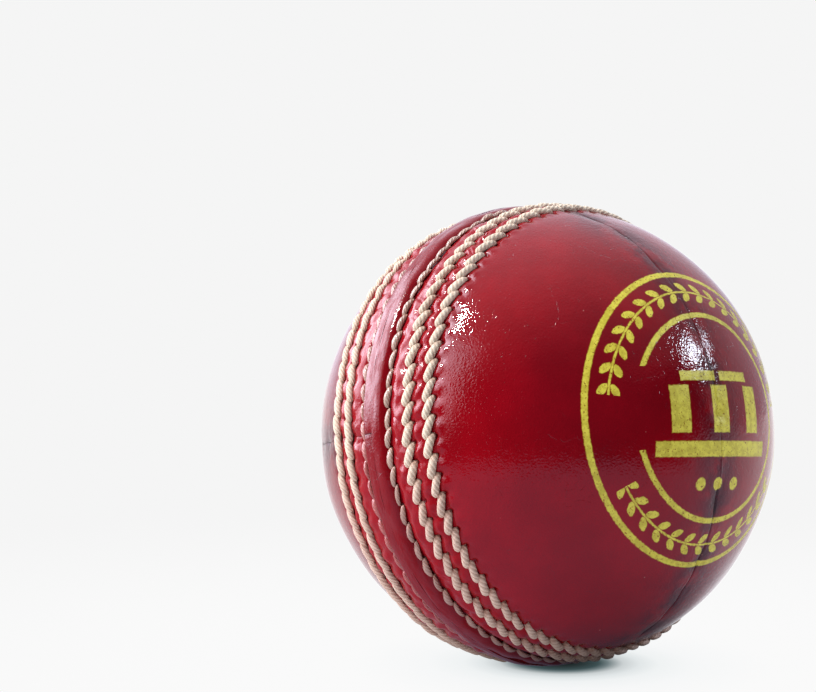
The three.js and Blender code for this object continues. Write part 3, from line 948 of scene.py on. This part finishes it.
def makeCork(name, look):
    material, tree, shader = newMaterial(name)
    place = millimetres(tree)
    crumbs = addNode(tree, "ShaderNodeTexVoronoi", {"Vector": place, "Scale": 1 / look["grain"]})
    tone = addNode(tree, "ShaderNodeSeparateColor", {"Color": crumbs.outputs["Color"]}).outputs[0]
    edges = addNode(tree, "ShaderNodeTexVoronoi", {"Vector": place, "Scale": 1 / look["grain"]},
                    feature="DISTANCE_TO_EDGE")
    colour = mixColours(tone, look["dark"], look["light"])
    colour = mixColours(stepUp(edges.outputs["Distance"], 0.02, 0.09, 0.7, 0.0), colour, look["dark"])
    setInputs(shader, {"Base Color": colour, "Normal": bumped(edges.outputs["Distance"], 0.7, 0.0002),
            "Roughness": stepUp(tone, 0, 1, 0.75, 0.95)})
    return material


def makeYarn(name, look):
    material, tree, shader = newMaterial(name)
    place = millimetres(tree)
    strands = None
    for turn in ((0.3, 0.9, 0.2), (1.2, 0.1, 0.8), (2.1, 0.7, 1.6)):
        turned = addNode(tree, "ShaderNodeMapping", {"Vector": place, "Rotation": turn}).outputs[0]
        wave = addNode(tree, "ShaderNodeTexWave", {"Vector": turned, "Scale": 0.31 / look["width"],
                "Distortion": 1.5, "Detail": 2.0}, wave_type="BANDS")
        share = wave.outputs["Fac"]
        strands = share if strands is None else maths("MAXIMUM", strands, times(share, 0.9))
    fibre = useGroup(tree, fibreGroup, {"Place": place, "Fibre Size": 0.25})
    colour = mixColours(strands, look["dark"], look["light"])
    colour = mixColours(times(fibre["Height"], 0.5), colour, look["dark"])
    relief = timesPlus(fibre["Height"], 0.3, strands)
    setInputs(shader, {"Base Color": colour, "Normal": bumped(relief, 0.8, 0.0004), "Sheen Weight": 0.3,
            "Roughness": stepUp(fibre["Height"], 0.3, 0.7, 0.85, 1.0)})
    return material


def makeLining(name, look):
    material, tree, shader = newMaterial(name)
    place = millimetres(tree)
    grain = useGroup(tree, grainGroup, {"Place": place, "Grain Size": look["grain"]})
    colour = mixColours(noiseAt(place, 3, 4), look["dark"], look["light"])
    setInputs(shader, {"Base Color": colour, "Normal": bumped(grain["Height"], 0.5, 0.0001),
            "Roughness": stepUp(grain["Height"], 0.2, 0.8, 0.7, 0.9)})
    return material


innerMaterials = {
    "cork_rubber_core": makeCork("cork_and_rubber", inside["core"]),
    "cork_strip": makeCork("cut_cork", inside["cork"]),
    "yarn_winding": makeYarn("wool_yarn", inside["yarn"]),
    "quarter_lining": makeLining("lining_leather", inside["lining"]),
}
for name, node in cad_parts.items():
    matching = [material for part, material in innerMaterials.items() if part in name]
    node.data.materials.clear()
    node.data.materials.append(matching[0] if matching else looseThread)
print("inner layers finished")


# floor, light and camera

up = Vector(stage["up"]).normalized()
away = Vector(stage["away"]).normalized()
right = away.cross(up).normalized()
away = up.cross(right)
stageTurn = Matrix((right, away, up)).transposed()


def lowestAlong(direction):
    # how far the finished ball reaches along a direction, in metres
    reach = 0
    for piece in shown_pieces():
        points = np.zeros(len(piece.data.vertices) * 3, np.float32)
        piece.data.vertices.foreach_get("co", points)
        reach = max(reach, float((points.reshape(-1, 3) @ np.array(direction)).max()))
    return reach


lights = {
    # stage azimuth from the camera's side to its right, elevation, size as an angle, radiance and colour
    "key_light": {"azimuth": -74.5, "elevation": 52.5, "angle": 4.4, "radiance": 510,
                  "colour": (1, 0.985, 0.97)},
    "window_light": {"azimuth": 88, "elevation": 29.5, "angle": 10, "radiance": 42,
        "colour": (0.78, 0.86, 1.0)},
    "distance": 1.0,
}


def fromStage(azimuth, elevation):
    # a direction from the ball, turned from the camera's side to its right and then up
    azimuth, elevation = math.radians(azimuth), math.radians(elevation)
    level = right * math.sin(azimuth) - away * math.cos(azimuth)
    return level * math.cos(elevation) + up * math.sin(elevation)


def addLight(name):
    look = lights[name]
    toward = fromStage(look["azimuth"], look["elevation"])
    data = bpy.data.lights.new(name, "AREA")
    data.shape = "DISK"
    data.size = 2 * lights["distance"] * math.tan(math.radians(look["angle"] / 2))
    data.energy = look["radiance"] * math.pi * math.pi * (data.size / 2) ** 2
    data.color = look["colour"]
    lamp = addObject(name, data)
    lamp.location = toward * lights["distance"]
    lamp.rotation_mode = "QUATERNION"
    lamp.rotation_quaternion = toward.to_track_quat("Z", "Y")
    lamp.visible_camera = False


addLight("key_light")
addLight("window_light")


def colourRamp(value, stops):
    # each stop is a position and a grey, or a position and a colour
    ramp = addNode(treeOf(value), "ShaderNodeValToRGB", {"Fac": value})
    elements = ramp.color_ramp.elements
    elements.remove(elements[-1])
    for i, (position, colour) in enumerate(stops):
        element = elements[0] if i == 0 else elements.new(position)
        element.position = position
        element.color = (*colour, 1) if hasattr(colour, "__len__") else (colour, colour, colour, 1)
    return ramp.outputs["Color"]


room = {
    "paper": 0.913,  # the plain background, and the floor far away
    "floor": 0.955,  # the floor close to the ball, brighter: a painted pool of light
    # brightness in the leather's gloss, from straight behind the ball, over the top, to the camera's side
    "dome": [(0.0, 1.15), (0.25, 0.95), (0.5, 0.62), (0.585, 0.46), (0.67, 0.31), (0.75, 0.18),
             (0.82, 0.09), (0.885, 0.02), (1.0, 0.0)],
    "leftBox": 3.3,  # a large soft light on the left
    "leftWall": {"azimuth": -108, "elevation": 26, "radiance": 6.5},  # and a brighter one further back
    "soft": {"all": 0.82, "right": -1.32, "away": 1.25, "most": 1.75},
    # the light that reaches the dull surfaces
}


def makeSoftGroup():
    group, given, wanted = newGroup("softLight", {"Toward": None}, {"Light": "NodeSocketFloat"})
    light = room["soft"]
    total = light["all"]
    for axis, name in ((right, "right"), (away, "away")):
        share = vectorMaths("DOT_PRODUCT", given["Toward"], tuple(axis))
        total = timesPlus(share, light[name], total)
    total = maths("MINIMUM", maths("MAXIMUM", total, 0.0), light["most"])
    group.links.new(total, wanted["Light"])
    return group


softGroup = makeSoftGroup()


def chooseByRay(tree, soft, gloss, seen):
    # what a dull surface, a glossy one and the camera each meet
    ray = addNode(tree, "ShaderNodeLightPath").outputs
    return mixColours(ray["Is Camera Ray"], mixColours(ray["Is Glossy Ray"], soft, gloss), seen)


def makeRoom():
    world = bpy.data.worlds.new("studio")
    bpy.context.scene.world = world
    world.use_nodes = True
    tree = world.node_tree
    tree.nodes.clear()
    toward = addNode(tree, "ShaderNodeTexCoord").outputs["Generated"]
    forward = vectorMaths("DOT_PRODUCT", toward, tuple(-away))
    height = vectorMaths("DOT_PRODUCT", toward, tuple(up))
    leftward = vectorMaths("DOT_PRODUCT", toward, tuple(-right))
    dome = colourRamp(timesPlus(forward, 0.5, 0.5), room["dome"])
    # the room behind the camera is dark up to about thirty degrees, and the far right is dimmer
    low = stepUp(height, 0.42, 0.56, 1.0, 0.0)
    front = stepUp(forward, -0.08, 0.22)
    lit = minus(1.0, times(low, front))
    lit = times(lit, stepUp(leftward, -0.75, 0.1, 0.54, 1.0))
    flatness = maths("SQRT", maths("MAXIMUM", timesPlus(height, times(height, -1.0), 1.0), 0.01))
    side = maths("DIVIDE", leftward, flatness)
    box = times(stepUp(side, 0.7, 0.86), stepUp(height, -0.02, 0.3))
    box = times(box, stepUp(height, 0.62, 0.78, room["leftBox"], 0.0))
    wall = room["leftWall"]
    nearWall = vectorMaths("DOT_PRODUCT", toward, tuple(fromStage(wall["azimuth"], wall["elevation"])))
    box = plus(box, stepUp(nearWall, 0.78, 0.97, 0.0, wall["radiance"]))
    gloss = plus(times(dome, lit), box)
    gloss = mixColours(1.0, gloss, (0.98, 0.97, 1.12), "MULTIPLY")
    soft = useGroup(tree, softGroup, {"Toward": toward})["Light"]
    back = addNode(tree, "ShaderNodeBackground",
                   {"Color": chooseByRay(tree, soft, gloss, (room["paper"],) * 3)})
    tree.links.new(back.outputs[0], addNode(tree, "ShaderNodeOutputWorld").inputs["Surface"])


makeRoom()


def makeFloor():
    size = 3.0
    drop = lowestAlong(-up)
    mesh = bpy.data.meshes.new("floor")
    corners = [stageTurn @ Vector((x * size, y * size, 0)) - up * drop for x,
               y in ((-1, -1), (1, -1), (1, 1), (-1, 1))]
    mesh.from_pydata(corners, [], [(0, 1, 2, 3)])
    floor = addObject("floor", mesh)
    material = bpy.data.materials.new("pale_floor")
    material.use_nodes = True
    tree = material.node_tree
    tree.nodes.clear()
    place = addNode(tree, "ShaderNodeTexCoord").outputs["Object"]
    depth = vectorMaths("DOT_PRODUCT", place, tuple(away))
    across = vectorMaths("DOT_PRODUCT", place, tuple(right))
    flat = combine(X=across, Y=depth)
    outFrom = axesOf(vectorMaths("NORMALIZE", flat))
    # what the glossy leather sees of the floor: dim on the dark side of the room
    gloss = colourRamp(timesPlus(outFrom["Y"], 0.5, 0.5),
            [(0.0, (0.36, 0.35, 0.54)), (0.2, (0.43, 0.42, 0.6)), (0.4, (0.67, 0.66, 0.82)),
            (0.6, (0.76, 0.75, 0.85)), (0.85, (1.0, 1.0, 1.05)), (1.0, (1.2, 1.2, 1.23))])
    behind = times(stepUp(outFrom["Y"], 0.0, 0.5, 0.0, 0.12), outFrom["X"])
    gloss = mixColours(1.0, gloss, plus(behind, 1.0), "MULTIPLY")
    soft = useGroup(tree, softGroup, {"Toward": vectorMaths("NORMALIZE", place)})["Light"]
    # the share of the room that a ball leaves open to the floor under it
    shadowAt = combine(X=minus(across, 0.0025), Y=depth)
    reach = maths("DIVIDE", vectorMaths("LENGTH", shadowAt), drop)
    openShare = maths("POWER", timesPlus(reach, reach, 1.0), -1.5)
    openShare = minus(1.0, openShare)
    # a painted pool of light: the floor brighter close to the ball
    bright = stepUp(reach, 1.0, 6.0, room["floor"], room["paper"])
    # a painted contact shadow under the ball, as the camera sees it
    seen = colourRamp(openShare, [(0.0, (0.01, 0.013, 0.013)), (0.04, (0.05, 0.085, 0.09)),
            (0.06, (0.17, 0.22, 0.23)), (0.1, (0.62, 0.66, 0.67)), (0.15, (0.79, 0.83, 0.84)),
            (0.22, (0.91, 0.935, 0.94)), (0.35, (0.965, 0.975, 0.98)), (0.6, (1.0, 1.0, 1.0))])
    seen = mixColours(1.0, seen, bright, "MULTIPLY")
    # the ball's own shadow in its gloss, off to the right
    besideAt = combine(X=minus(across, 0.3 * drop), Y=depth)
    beside = maths("DIVIDE", vectorMaths("LENGTH", besideAt), drop)
    dimmed = stepUp(beside, 0.0, 1.35, 0.1, 1.0)
    # toward the camera the bright floor ends where the dark of the room begins
    ended = times(stepUp(reach, 5.0, 7.5), stepUp(outFrom["Y"], -0.55, -0.2, 1.0, 0.0))
    dimmed = times(dimmed, minus(1.0, ended))
    gloss = mixColours(1.0, gloss, dimmed, "MULTIPLY")
    soft = timesPlus(soft, 0.36, 0.61)
    soft = times(soft, stepUp(beside, 0.2, 1.8, 0.05, 1.5))
    # the floor glows: its light and shadows are painted
    glow = addNode(tree, "ShaderNodeEmission", {"Color": chooseByRay(tree, soft, gloss, seen)})
    tree.links.new(glow.outputs[0], addNode(tree, "ShaderNodeOutputMaterial").inputs["Surface"])
    mesh.materials.append(material)


makeFloor()

camera = addObject("camera", bpy.data.cameras.new("camera"))
camera.data.lens = stage["lens"]
camera.data.sensor_width = 36
camera.data.clip_start, camera.data.clip_end = 0.01, 20
camera.location = stage["cameraAt"]
camera.rotation_euler = [math.radians(a) for a in stage["cameraTurn"]]
bpy.context.scene.camera = camera
bpy.context.scene.view_settings.view_transform = "Standard"
print("stage set")
